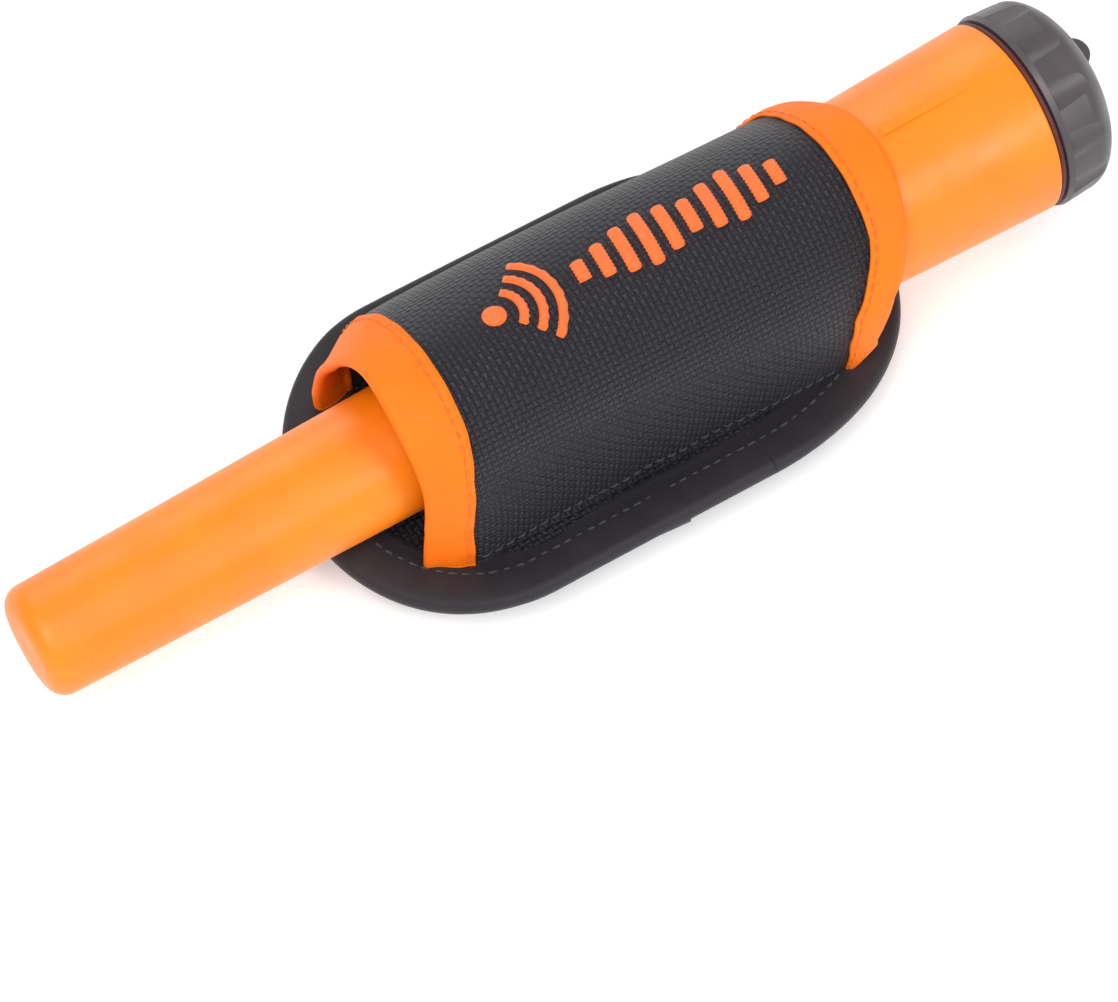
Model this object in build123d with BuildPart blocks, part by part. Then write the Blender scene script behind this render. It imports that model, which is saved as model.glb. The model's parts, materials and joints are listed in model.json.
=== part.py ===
"""Pinpointer probe in its belt holster.

A hand-held metal probe: a slim tapered nose that widens into a handle, closed by a screw cap over a
9 V battery. It sits in a holster made of a padded back panel, a sewn sleeve and a belt loop.

Millimetres, +Z up. The holster lies on its belt loop with X along it, towards the cap. The origin is
the middle of the loop's outer face, which is what the part rests on. The probe's axis runs along X and
climbs towards the cap, because the handle is thicker than the nose and both lie on the panel.
"""

import os
from math import cos, radians, sin

from build123d import *

os.makedirs("parts", exist_ok=True)

# ---- Holster: driving dimensions ----
loop_thickness = 1.6
loop_width = 32.0
loop_clear_length = 62.0
loop_sewn_length = 12.0
belt_gap = 4.4
panel_thickness = 4.5
panel_half_width = 36.2
panel_front_reach, panel_back_reach = 64.5, 197.0
panel_front_bow = 33.0
panel_back_bow = 48.0
tape_width = 10.0
tape_thickness = 0.6
seam_half_width = 24.4
sleeve_wall = 1.2
sleeve_foot = 1.4
sleeve_inner_height = 40.0
sleeve_side_height = 14.0
ribbon_width = 10.0
ribbon_thickness = 0.5
tip_mouth_station, handle_mouth_station = 77.5, 175.5
handle_mouth_lean = 21.8
panel_give = 0.35

# ---- Probe: driving dimensions, with stations measured along the axis from the tip ----
probe_pitch = 2.8
axis_over_panel = 9.6
nose_dome = 1.0
nose_round = 4.2
tip_radius = 11.7
slim_end, slim_radius = 105.0, 13.6
flare_end, flare_radius = 172.0, 18.9
shoulder_station, shoulder_radius = 227.5, 21.0
shoulder_round = 0.6
neck_length, neck_radius = 9.4, 17.8
rib_front, rib_crest, rib_back = 194.0, 196.5, 218.0
rib_height, rib_width, rib_root = 0.55, 1.8, 0.8
nose_wall = 3.0
slim_wall = 2.5
flare_wall = 3.6
ledge_station = 182.0
battery_bore_radius = 16.1

# ---- Battery cap: driving dimensions ----
seal_gap, seal_inset = 1.5, 1.0
cap_length, cap_side_length = 17.1, 7.5
cap_radius = 21.6
cap_rim_radius = 21.1
cap_rim_length = 1.2
cap_dome_radius = 21.2
cap_end_wall = 8.0
cap_bore_clearance = 0.4
flute_count = 12
flute_depth = 0.95
flute_cutter_radius = 7.0
lug_recess_offset, lug_recess_radius, lug_recess_depth = 7.0, 6.5, 5.8
lug_channel_width, lug_channel_depth = 3.8, 4.9
lug_offset = 8.5
lug_width, lug_height, lug_thickness = 7.4, 6.7, 4.0
lug_root = 0.5
lug_corner_radius = 3.6
lug_hole_radius, lug_hole_from_top = 1.75, 3.8

# ---- Battery and its fittings (6LR61 size) ----
battery_width, battery_depth, battery_length = 26.5, 17.5, 45.6
battery_corner_radius = 2.2
terminal_height, terminal_pitch = 2.9, 12.7
snap_stud_radius, snap_socket_radius = 2.9, 4.1
foam_pad_thickness = 3.0
foam_pad_radius = 12.0
bulkhead_thickness = 2.0
lead_spacing, lead_height = 4.5, 6.0
contact_width = 4.4

# ---- Inside the nose and the body ----
touch = 0.05
play = 0.1
ferrite_radius = 4.0
ferrite_front, ferrite_back = 8.5, 84.0
former_front, former_back = 10.0, 87.9
former_wall = 1.3
flange_radius, flange_thickness = 8.7, 1.2
middle_flange, back_flange = 46.0, 68.0
transmit_radius, receive_radius = 7.6, 7.0
coil_lead_spacing = 2.0
battery_lead_radius, coil_lead_radius = 0.6, 0.45
chassis_front, chassis_back = 88.0, 181.0
board_front, board_back = 94.0, 179.0
board_thickness, board_width = 1.6, 18.0
plate_thickness = 2.0
screw_stations = (98.0, 175.0)
screw_offset = 7.0
screw_radius, screw_length = 0.8, 3.4
screw_head_radius, screw_head_height = 1.8, 1.2
button_station, button_travel, button_proud = 150.0, 0.8, 0.7
button_length, button_width, button_gap = 14.0, 9.0, 0.25
button_stem_radius = 1.6
switch_size, switch_height, switch_plunger_height = 6.0, 3.5, 1.0
seal_height, seal_thickness = 11.0, 1.2
lens_station, lens_radius, lens_gap = 137.0, 2.4, 0.1
led_radius, led_height = 1.6, 4.6
buzzer_station, buzzer_radius, buzzer_height = 166.0, 7.5, 5.5
motor_front, motor_length, motor_radius = 113.0, 12.0, 3.5
motor_shaft_radius, motor_bearing_radius = 0.75, 0.8
weight_radius, weight_length = 3.0, 3.5

# ---- Places worked out from the dimensions ----
panel_bottom = loop_thickness + belt_gap
panel_top = panel_bottom + panel_thickness
tip_x = -131.0
tip_z = panel_top + axis_over_panel
panel_front_x, panel_back_x = tip_x + panel_front_reach, tip_x + panel_back_reach
tip_mouth_x = tip_x + tip_mouth_station
handle_mouth_x = tip_x + handle_mouth_station

pitch = radians(probe_pitch)
axis_direction = Vector(cos(pitch), 0, sin(pitch))
up_direction = Vector(-sin(pitch), 0, cos(pitch))
tip = Vector(tip_x, 0, tip_z)
probe_axis = Axis(tip, axis_direction)
slim_slope = (slim_radius - tip_radius) / slim_end
handle_slope = (shoulder_radius - flare_radius) / (shoulder_station - flare_end)
neck_end = shoulder_station + neck_length
cap_rim = shoulder_station + seal_gap
cap_side_end, cap_end = cap_rim + cap_side_length, cap_rim + cap_length
cap_floor = cap_end - cap_end_wall

# Profiles of turned pieces are drawn on this plane as (station, radius).
side = Plane(origin=tip, x_dir=axis_direction, z_dir=(0, -1, 0))


def across(station):
    """Plane square to the probe's axis, looking towards the cap, with x to the side and y up."""
    return Plane(origin=tip + axis_direction * station, x_dir=(0, 1, 0), z_dir=axis_direction)


def over(station, height):
    """Plane along the probe at a height over its axis, with x towards the cap and z up."""
    origin = tip + axis_direction * station + up_direction * height
    return Plane(origin=origin, x_dir=axis_direction, z_dir=up_direction)


def body_radius(station):
    """Radius of the housing's straight stretches."""
    if station <= slim_end:
        return tip_radius + slim_slope * station
    return flare_radius + handle_slope * (station - flare_end)


def draw_body_line(front, back, inset_slim, inset_flare):
    """Nose, flare and handle line between two stations, set in by a wall thickness."""
    slim_point = (slim_end, slim_radius - inset_slim)
    flare_point = (flare_end, flare_radius - inset_flare)
    Line((front, body_radius(front) - inset_slim), slim_point)
    Spline(slim_point, flare_point, tangents=[(1, slim_slope), (1, handle_slope)])
    Line(flare_point, (back, body_radius(back) - inset_flare))


# ======== Probe housing ========
with BuildPart() as probe_housing:
    with BuildSketch(side) as housing_profile:
        with BuildLine():
            ThreePointArc((0, 0), (nose_dome / 4, tip_radius / 2), (nose_dome, body_radius(nose_dome)))
            draw_body_line(nose_dome, shoulder_station, 0, 0)
            Polyline(
                (shoulder_station, shoulder_radius),
                (shoulder_station, neck_radius),
                (neck_end, neck_radius),
                (neck_end, 0),
                (0, 0),
            )
        make_face()
        nose_corner = housing_profile.vertices().sort_by_distance((nose_dome, tip_radius, 0))[0]
        fillet(nose_corner, nose_round)
        shoulder = (shoulder_station, shoulder_radius, 0)
        fillet(housing_profile.vertices().sort_by_distance(shoulder)[0], shoulder_round)
    revolve(axis=probe_axis)
    with BuildSketch(side):
        with BuildLine():
            draw_body_line(nose_wall, ledge_station, slim_wall, flare_wall)
            Polyline(
                (ledge_station, body_radius(ledge_station) - flare_wall),
                (ledge_station, battery_bore_radius),
                (neck_end, battery_bore_radius),
                (neck_end, 0),
                (nose_wall, 0),
                (nose_wall, body_radius(nose_wall) - slim_wall),
            )
        make_face()
    revolve(axis=probe_axis, mode=Mode.SUBTRACT)
    # A low rib fades out along the top of the handle.
    with BuildSketch(side):
        with BuildLine():
            Polyline(
                (rib_front, body_radius(rib_front) - rib_root),
                (rib_crest, body_radius(rib_crest) + rib_height),
                (rib_back, body_radius(rib_back)),
                (rib_back, body_radius(rib_back) - rib_root),
                close=True,
            )
        make_face()
    extrude(amount=rib_width / 2, both=True)
    # Openings in the top for the button and the lens.
    with BuildSketch(over(button_station, 10)):
        SlotOverall(button_length + 2 * button_gap, button_width + 2 * button_gap)
    extrude(amount=flare_radius, mode=Mode.SUBTRACT)
    with BuildSketch(over(lens_station, 10)):
        Circle(lens_radius + lens_gap)
    extrude(amount=flare_radius, mode=Mode.SUBTRACT)

# ======== Battery cap ========
with BuildPart() as battery_cap:
    with BuildSketch(side):
        with BuildLine():
            Polyline(
                (cap_rim, cap_rim_radius),
                (cap_rim + cap_rim_length, cap_radius),
                (cap_side_end, cap_dome_radius),
            )
            EllipticalCenterArc(
                (cap_side_end, 0), cap_end - cap_side_end, cap_dome_radius, start_angle=0, arc_size=90
            )
            Polyline(
                (cap_end, 0),
                (cap_floor, 0),
                (cap_floor, neck_radius + cap_bore_clearance),
                (cap_rim, neck_radius + cap_bore_clearance),
                (cap_rim, cap_rim_radius),
            )
        make_face()
    revolve(axis=probe_axis)
    # Wide shallow finger flutes round the side.
    with BuildSketch(across(cap_rim + cap_rim_length)):
        with PolarLocations(cap_radius + flute_cutter_radius - flute_depth, flute_count):
            Circle(flute_cutter_radius)
    extrude(amount=cap_length, mode=Mode.SUBTRACT)
    # Lanyard lug: a plate with an eye, standing in a round recess in the domed end. A channel for
    # the cord runs from the recess to the lower edge of the dome.
    with BuildSketch(across(cap_end)):
        with Locations((0, lug_recess_offset)):
            Circle(lug_recess_radius)
    extrude(amount=-lug_recess_depth, mode=Mode.SUBTRACT)
    with BuildSketch(across(cap_end)):
        with Locations((0, lug_recess_offset)):
            Rectangle(lug_channel_width, 2 * cap_radius, align=(Align.CENTER, Align.MAX))
    extrude(amount=-lug_channel_depth, mode=Mode.SUBTRACT)
    with BuildSketch(over(cap_end - lug_recess_depth, lug_offset)) as lug_profile:
        with Locations((-lug_root, 0)):
            Rectangle(lug_height + lug_root, lug_width, align=(Align.MIN, Align.CENTER))
        fillet(lug_profile.vertices().group_by(Axis.X)[-1], lug_corner_radius)
        with Locations((lug_height - lug_hole_from_top, 0)):
            Circle(lug_hole_radius, mode=Mode.SUBTRACT)
    extrude(amount=lug_thickness / 2, both=True)

with BuildPart() as cap_o_ring:
    with BuildSketch(side):
        with Locations((shoulder_station + seal_gap / 2, shoulder_radius - seal_inset)):
            Circle((seal_gap - play) / 2)
    revolve(axis=probe_axis)

with BuildPart() as cap_foam_pad:
    with BuildSketch(across(cap_floor - foam_pad_thickness - touch)):
        Circle(foam_pad_radius)
    extrude(amount=foam_pad_thickness)

# ======== Battery and its contacts ========
battery_back = cap_floor - foam_pad_thickness - touch - play
battery_front = battery_back - battery_length
terminal_front = battery_front - terminal_height
bulkhead_back = ledge_station + touch + bulkhead_thickness

with BuildPart() as battery_9v:
    with BuildSketch(across(battery_front)):
        RectangleRounded(battery_width, battery_depth, battery_corner_radius)
    extrude(amount=battery_length)

with BuildPart() as battery_terminals:
    with BuildSketch(across(battery_front)):
        with Locations((terminal_pitch / 2, 0)):
            Circle(snap_stud_radius)
        with Locations((-terminal_pitch / 2, 0)):
            RegularPolygon(snap_socket_radius, 6)
            Circle(snap_stud_radius, mode=Mode.SUBTRACT)
    extrude(amount=-terminal_height)

with BuildPart() as battery_bulkhead:
    with BuildSketch(across(ledge_station + touch)):
        Circle(battery_bore_radius - play)
        with Locations((lead_spacing, lead_height), (-lead_spacing, lead_height)):
            Circle(battery_lead_radius + 2 * play, mode=Mode.SUBTRACT)
    extrude(amount=bulkhead_thickness)

# Each contact is a spring leaf that rises from the bulkhead to meet a battery terminal.
with BuildPart() as battery_contacts:
    for lateral in (-terminal_pitch / 2, terminal_pitch / 2):
        with BuildSketch(Plane(side.origin + Vector(0, lateral, 0), x_dir=side.x_dir, z_dir=side.z_dir)):
            with BuildLine():
                Polyline(
                    (bulkhead_back, 7.0),
                    (bulkhead_back + 0.4, 7.0),
                    (bulkhead_back + 0.4, 3.2),
                    (terminal_front - touch, -0.6),
                    (terminal_front - touch, -2.4),
                    (terminal_front - 0.45, -2.4),
                    (terminal_front - 0.45, -0.8),
                    (bulkhead_back, 3.0),
                    close=True,
                )
            make_face()
        extrude(amount=contact_width / 2, both=True)

with BuildPart() as battery_leads:
    for lateral in (-lead_spacing, lead_spacing):
        lead_side = Plane(side.origin + Vector(0, lateral, 0), x_dir=side.x_dir, z_dir=side.z_dir)
        with BuildLine(lead_side) as lead_route:
            FilletPolyline((bulkhead_back, lead_height), (176.5, lead_height), (176.5, play), radius=2.0)
        with BuildSketch(lead_route.line ^ 0):
            Circle(battery_lead_radius)
        sweep(path=lead_route.line)

# ======== Search coil in the nose ========
former_radius = ferrite_radius + former_wall

with BuildPart() as nose_foam:
    with BuildSketch(across(nose_wall + play)):
        Circle(flange_radius)
    extrude(amount=ferrite_front - nose_wall - 2 * play)

with BuildPart() as ferrite_rod:
    with BuildSketch(across(ferrite_front)):
        Circle(ferrite_radius)
    extrude(amount=ferrite_back - ferrite_front)
    chamfer(ferrite_rod.edges().filter_by(GeomType.CIRCLE), 0.4)

with BuildPart() as coil_former:
    with BuildSketch(across(former_front)):
        Circle(former_radius)
        Circle(ferrite_radius + play, mode=Mode.SUBTRACT)
    extrude(amount=former_back - former_front)
    for station in (former_front, middle_flange, back_flange):
        with BuildSketch(across(station)):
            Circle(flange_radius)
            Circle(ferrite_radius + play, mode=Mode.SUBTRACT)
        extrude(amount=flange_thickness)

with BuildPart() as transmit_winding:
    with BuildSketch(across(former_front + flange_thickness + play)):
        Circle(transmit_radius)
        Circle(former_radius + touch, mode=Mode.SUBTRACT)
    extrude(amount=middle_flange - former_front - flange_thickness - 2 * play)

with BuildPart() as receive_winding:
    with BuildSketch(across(middle_flange + flange_thickness + play)):
        Circle(receive_radius)
        Circle(former_radius + touch, mode=Mode.SUBTRACT)
    extrude(amount=back_flange - middle_flange - flange_thickness - 2 * play)

lead_start = back_flange + flange_thickness + touch
with BuildPart() as coil_leads:
    for lateral in (-coil_lead_spacing, coil_lead_spacing):
        lead_side = Plane(side.origin + Vector(0, lateral, 0), x_dir=side.x_dir, z_dir=side.z_dir)
        with BuildLine(lead_side) as lead_route:
            FilletPolyline((lead_start, 7.0), (91.0, 7.0), (97.5, 3.5), (97.5, touch), radius=2.5)
        with BuildSketch(lead_route.line ^ 0):
            Circle(coil_lead_radius)
        sweep(path=lead_route.line)

# ======== Chassis and circuit board ========
with BuildPart() as chassis:
    with BuildSketch(over(0, -board_thickness - plate_thickness)):
        with Locations(((chassis_front + chassis_back) / 2, 0)):
            Rectangle(chassis_back - chassis_front, board_width - 1)
    extrude(amount=plate_thickness)
    with BuildSketch(across(chassis_front)):
        Circle(body_radius(chassis_front) - slim_wall - 3 * play)
        with Locations((0, 7.0)):
            Rectangle(7.0, 8.0, mode=Mode.SUBTRACT)
    extrude(amount=3.0)
    with BuildSketch(over(0, -board_thickness)):
        for station in screw_stations:
            with Locations((station, -screw_offset), (station, screw_offset)):
                Circle(screw_radius + touch)
    extrude(amount=-plate_thickness, mode=Mode.SUBTRACT)

with BuildPart() as main_board:
    with BuildSketch(over(0, -board_thickness)):
        with Locations(((board_front + board_back) / 2, 0)):
            RectangleRounded(board_back - board_front, board_width, 1.0)
        for station in screw_stations:
            with Locations((station, -screw_offset), (station, screw_offset)):
                Circle(screw_radius + 0.35, mode=Mode.SUBTRACT)
    extrude(amount=board_thickness)

with BuildPart() as board_screws:
    for station in screw_stations:
        for lateral in (-screw_offset, screw_offset):
            screw_axis = Axis(tip + axis_direction * station + Vector(0, lateral, 0), up_direction)
            screw_side = Plane(screw_axis.position, x_dir=axis_direction, z_dir=(0, -1, 0))
            with BuildSketch(screw_side):
                with BuildLine():
                    Polyline(
                        (0, -screw_length),
                        (screw_radius, -screw_length),
                        (screw_radius, touch),
                        (screw_head_radius, touch),
                        (screw_head_radius, screw_head_height),
                        (0, screw_head_height),
                        close=True,
                    )
                make_face()
            revolve(axis=screw_axis)

# Packages soldered to the board: (station, lateral, length, width, height)
packages = [
    (106.0, 1.0, 7.0, 7.0, 1.4),
    (106.0, -5.8, 4.0, 2.2, 1.0),
    (131.5, -5.5, 5.0, 4.0, 1.6),
    (131.5, 5.5, 5.0, 4.0, 1.6),
    (142.0, -6.0, 3.0, 2.0, 1.0),
    (142.0, 6.0, 3.0, 2.0, 1.0),
]
capacitor_places = [(119.0, -7.0), (119.0, 7.0)]
with BuildPart() as board_components:
    for station, lateral, length, width, height in packages:
        with BuildSketch(over(0, touch)):
            with Locations((station, lateral)):
                Rectangle(length, width)
        extrude(amount=height)
    with BuildSketch(over(0, touch)):
        with Locations(*capacitor_places):
            Circle(1.9)
    extrude(amount=5.0)

motor_height = motor_radius + 0.4
weight_front = motor_front + motor_length + 0.6
with BuildPart() as vibration_motor:
    with BuildSketch(across(motor_front)):
        with Locations((0, motor_height)):
            Circle(motor_radius)
    extrude(amount=motor_length)
    with BuildSketch(over(0, touch)):
        with Locations((motor_front + motor_length / 2, 0)):
            Rectangle(motor_length - 2, 6.0)
    extrude(amount=1.5)
    with BuildSketch(across(motor_front + motor_length)):
        with Locations((0, motor_height)):
            Circle(motor_bearing_radius)
    extrude(amount=-3.0, mode=Mode.SUBTRACT)

with BuildPart() as motor_weight:
    with BuildSketch(across(weight_front - 3.4)):
        with Locations((0, motor_height)):
            Circle(motor_shaft_radius)
    extrude(amount=7.4)
    with BuildSketch(across(weight_front)):
        with BuildLine():
            arc = CenterArc((0, motor_height), weight_radius, 180, 180)
            Line(arc @ 1, arc @ 0)
        make_face()
        with Locations((0, motor_height)):
            Circle(1.3)
    extrude(amount=weight_length)

with BuildPart() as piezo_sounder:
    with BuildSketch(over(buzzer_station, touch)):
        Circle(buzzer_radius)
    extrude(amount=buzzer_height)
    with BuildSketch(over(buzzer_station, touch + buzzer_height)):
        Circle(1.2)
    extrude(amount=-2.0, mode=Mode.SUBTRACT)
    fillet(piezo_sounder.faces().sort_by(Axis(tip, up_direction))[-1].outer_wire().edges(), 0.6)

with BuildPart() as tactile_switch:
    with BuildSketch(over(button_station, touch)):
        Rectangle(switch_size, switch_size)
    extrude(amount=switch_height)
    with BuildSketch(over(button_station, switch_height)):
        Circle(1.75)
    extrude(amount=switch_plunger_height)

# The button and the lens follow the body's curve, a little proud of it.
with BuildPart() as button_room:
    with BuildSketch(side):
        with BuildLine():
            draw_body_line(0, shoulder_station, -button_proud, -button_proud)
            Polyline(
                (shoulder_station, shoulder_radius + button_proud),
                (shoulder_station, 0),
                (0, 0),
                (0, tip_radius + button_proud),
            )
        make_face()
    revolve(axis=probe_axis)

plunger_top = switch_height + switch_plunger_height
with BuildPart() as power_button:
    with BuildSketch(over(button_station, 14.2)):
        SlotOverall(button_length, button_width)
    extrude(amount=8.0)
    add(button_room.part, mode=Mode.INTERSECT)
    fillet(power_button.faces().sort_by(Axis(tip, up_direction))[-1].outer_wire().edges(), 0.6)
    with BuildSketch(over(button_station, plunger_top + button_travel + play)):
        Circle(button_stem_radius)
    extrude(amount=9.0)

with BuildPart() as button_seal:
    with BuildSketch(over(button_station, seal_height)):
        SlotOverall(button_length + 1, button_width + 1)
        Circle(button_stem_radius + play, mode=Mode.SUBTRACT)
    extrude(amount=seal_thickness)

with BuildPart() as status_led:
    with BuildSketch(over(lens_station, touch)):
        Circle(led_radius)
    extrude(amount=led_height)
    fillet(status_led.edges().group_by(Axis(tip, up_direction))[-1], 1.4)

with BuildPart() as status_lens:
    with BuildSketch(over(lens_station, 6.0)):
        Circle(lens_radius)
    extrude(amount=14.0)
    add(button_room.part, mode=Mode.INTERSECT)
    fillet(status_lens.faces().sort_by(Axis(tip, up_direction))[-1].outer_wire().edges(), 0.5)

# ======== Holster ========
# The space that the probe sweeps, with a little room: the panel's padding is dished to it.
with BuildPart() as probe_room:
    with BuildSketch(side):
        with BuildLine():
            draw_body_line(0, shoulder_station, -panel_give, -panel_give)
            Polyline(
                (shoulder_station, shoulder_radius + panel_give),
                (shoulder_station, 0),
                (0, 0),
                (0, tip_radius + panel_give),
            )
        make_face()
    revolve(axis=probe_axis)


def draw_panel_outline(inset):
    """Panel outline: straight sides between two half-ellipse ends of different depth."""
    half_width = panel_half_width - inset
    front_bow, back_bow = panel_front_bow - inset, panel_back_bow - inset
    front_x, back_x = panel_front_x + panel_front_bow, panel_back_x - panel_back_bow
    Line((front_x, -half_width), (back_x, -half_width))
    EllipticalCenterArc((back_x, 0), back_bow, half_width, start_angle=-90, arc_size=180)
    Line((back_x, half_width), (front_x, half_width))
    EllipticalCenterArc((front_x, 0), front_bow, half_width, start_angle=90, arc_size=180)


with BuildPart() as back_panel:
    with BuildSketch(Plane.XY.offset(panel_bottom)):
        with BuildLine():
            draw_panel_outline(tape_thickness)
        make_face()
    extrude(amount=panel_thickness)
    add(probe_room.part, mode=Mode.SUBTRACT)

# Sleeve section: upright sides that turn into half an ellipse over the probe.
sleeve_cloth_length = 150.0
handle_mouth_plane = Plane(
    origin=(handle_mouth_x, 0, panel_top),
    x_dir=(0, 1, 0),
    z_dir=(cos(radians(handle_mouth_lean)), 0, -sin(radians(handle_mouth_lean))),
)


def sleeve_section(x):
    """Plane across the sleeve on top of the panel, with x to the side and y up."""
    return Plane(origin=(x, 0, panel_top), x_dir=(0, 1, 0), z_dir=(1, 0, 0))


def draw_arch(grow):
    """Closed section of the sleeve's inner space, grown outwards by a thickness."""
    half = seam_half_width - sleeve_wall + grow
    rise = sleeve_inner_height - sleeve_side_height + grow
    Line((-half, 0), (-half, sleeve_side_height))
    EllipticalCenterArc((0, sleeve_side_height), half, rise, start_angle=0, arc_size=180)
    Polyline((half, sleeve_side_height), (half, 0), (-half, 0))


with BuildPart() as holster_sleeve:
    with BuildSketch(sleeve_section(tip_mouth_x)):
        with BuildLine():
            draw_arch(sleeve_wall)
        make_face()
        with Locations((0, sleeve_wall / 2)):
            Rectangle(2 * (seam_half_width + sleeve_foot), sleeve_wall)
        with BuildLine():
            draw_arch(0)
        make_face(mode=Mode.SUBTRACT)
    extrude(amount=sleeve_cloth_length)
    split(bisect_by=handle_mouth_plane, keep=Keep.BOTTOM)

with BuildPart() as panel_edge_binding:
    with BuildSketch(Plane.XY.offset(panel_bottom - tape_thickness)):
        with BuildLine():
            draw_panel_outline(0)
        make_face()
        with BuildLine():
            draw_panel_outline(tape_width)
        make_face(mode=Mode.SUBTRACT)
    extrude(amount=panel_thickness + 2 * tape_thickness)
    add(back_panel.part, mode=Mode.SUBTRACT)
    add(holster_sleeve.part, mode=Mode.SUBTRACT)
    add(probe_room.part, mode=Mode.SUBTRACT)

with BuildPart() as tip_mouth_binding:
    with BuildSketch(sleeve_section(tip_mouth_x - ribbon_thickness)):
        with BuildLine():
            draw_arch(sleeve_wall + ribbon_thickness)
        make_face()
        with BuildLine():
            draw_arch(-ribbon_thickness)
        make_face(mode=Mode.SUBTRACT)
    extrude(amount=ribbon_width)
    add(holster_sleeve.part, mode=Mode.SUBTRACT)
    split(bisect_by=Plane.XY.offset(panel_top + sleeve_wall), keep=Keep.TOP)

with BuildPart() as handle_mouth_binding:
    with BuildSketch(sleeve_section(tip_mouth_x)):
        with BuildLine():
            draw_arch(sleeve_wall + ribbon_thickness)
        make_face()
        with BuildLine():
            draw_arch(-ribbon_thickness)
        make_face(mode=Mode.SUBTRACT)
    extrude(amount=sleeve_cloth_length)
    split(bisect_by=handle_mouth_plane.offset(ribbon_thickness), keep=Keep.BOTTOM)
    split(bisect_by=handle_mouth_plane.offset(ribbon_thickness - ribbon_width), keep=Keep.TOP)
    add(holster_sleeve.part, mode=Mode.SUBTRACT)
    add(probe_room.part, mode=Mode.SUBTRACT)
    split(bisect_by=Plane.XY.offset(panel_top + sleeve_wall), keep=Keep.TOP)

with BuildPart() as belt_loop:
    half_clear = loop_clear_length / 2
    ramp_end = half_clear + belt_gap
    sewn_end = ramp_end + loop_sewn_length
    under = panel_bottom - loop_thickness
    with BuildSketch(Plane.XZ):
        with BuildLine():
            Polyline(
                (-sewn_end, panel_bottom),
                (-sewn_end, under),
                (-ramp_end, under),
                (-half_clear - 0.6, 0),
                (half_clear + 0.6, 0),
                (ramp_end, under),
                (sewn_end, under),
                (sewn_end, panel_bottom),
                (ramp_end - 0.6, panel_bottom),
                (half_clear, loop_thickness),
                (-half_clear, loop_thickness),
                (-ramp_end + 0.6, panel_bottom),
                close=True,
            )
        make_face()
    extrude(amount=loop_width / 2, both=True)

# ======== Labels and files ========
pieces = {
    "probe_housing": probe_housing,
    "battery_cap": battery_cap,
    "cap_o_ring": cap_o_ring,
    "cap_foam_pad": cap_foam_pad,
    "battery_9v": battery_9v,
    "battery_terminals": battery_terminals,
    "battery_bulkhead": battery_bulkhead,
    "battery_contacts": battery_contacts,
    "battery_leads": battery_leads,
    "nose_foam": nose_foam,
    "ferrite_rod": ferrite_rod,
    "coil_former": coil_former,
    "transmit_winding": transmit_winding,
    "receive_winding": receive_winding,
    "coil_leads": coil_leads,
    "chassis": chassis,
    "main_board": main_board,
    "board_screws": board_screws,
    "board_components": board_components,
    "vibration_motor": vibration_motor,
    "motor_weight": motor_weight,
    "piezo_sounder": piezo_sounder,
    "tactile_switch": tactile_switch,
    "power_button": power_button,
    "button_seal": button_seal,
    "status_led": status_led,
    "status_lens": status_lens,
    "back_panel": back_panel,
    "panel_edge_binding": panel_edge_binding,
    "holster_sleeve": holster_sleeve,
    "tip_mouth_binding": tip_mouth_binding,
    "handle_mouth_binding": handle_mouth_binding,
    "belt_loop": belt_loop,
}
for name, piece in pieces.items():
    piece.part.label = name
    export_step(piece.part, f"parts/{name}.step")
    box = piece.part.bounding_box()
    print(name, round(piece.part.volume, 1), [round(v, 2) for v in (*box.min, *box.max)])
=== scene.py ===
"""Looks of the pinpointer probe in its belt holster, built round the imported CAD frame.

Metres, +Z up. X runs along the holster, from the probe's nose to its cap.
"""

import json
import math

import bpy
import numpy as np
from mathutils import Matrix, Vector


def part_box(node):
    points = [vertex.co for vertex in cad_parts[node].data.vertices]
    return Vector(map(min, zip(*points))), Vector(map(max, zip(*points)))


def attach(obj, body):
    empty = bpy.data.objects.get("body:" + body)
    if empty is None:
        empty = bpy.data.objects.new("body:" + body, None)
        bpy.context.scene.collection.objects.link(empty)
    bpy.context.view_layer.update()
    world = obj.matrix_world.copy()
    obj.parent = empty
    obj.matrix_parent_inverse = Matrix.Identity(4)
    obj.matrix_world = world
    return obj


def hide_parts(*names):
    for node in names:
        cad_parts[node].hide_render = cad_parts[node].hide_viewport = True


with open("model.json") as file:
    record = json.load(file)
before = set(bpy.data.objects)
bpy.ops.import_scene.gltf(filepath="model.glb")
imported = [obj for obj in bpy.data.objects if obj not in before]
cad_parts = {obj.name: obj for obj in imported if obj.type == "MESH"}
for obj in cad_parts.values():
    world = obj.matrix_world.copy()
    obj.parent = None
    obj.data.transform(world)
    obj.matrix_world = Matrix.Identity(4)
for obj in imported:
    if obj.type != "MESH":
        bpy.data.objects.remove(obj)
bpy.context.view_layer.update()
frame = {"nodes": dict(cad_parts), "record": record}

MM = 0.001

# ---- Places read from the frame ----
joints = {j["name"]: j for j in frame["record"]["behaviour"]["joints"]}
cap_joint_station = 240 * MM
axis = Vector(joints["probe_draw"]["axis"]).normalized()
rise = Vector((-axis.z, 0, axis.x))
tip = Vector(joints["cap_turn"]["pos_m"]) - axis * cap_joint_station
panel_low, panel_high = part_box("back_panel")
tape_low, tape_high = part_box("panel_edge_binding")
sleeve_low, sleeve_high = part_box("holster_sleeve")
ribbon_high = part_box("tip_mouth_binding")[1]
loop_low, loop_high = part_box("belt_loop")
panel_top = panel_high.z
panel_middle = (panel_low.z + panel_high.z) / 2
panel_thickness = panel_high.z - panel_low.z

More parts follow.
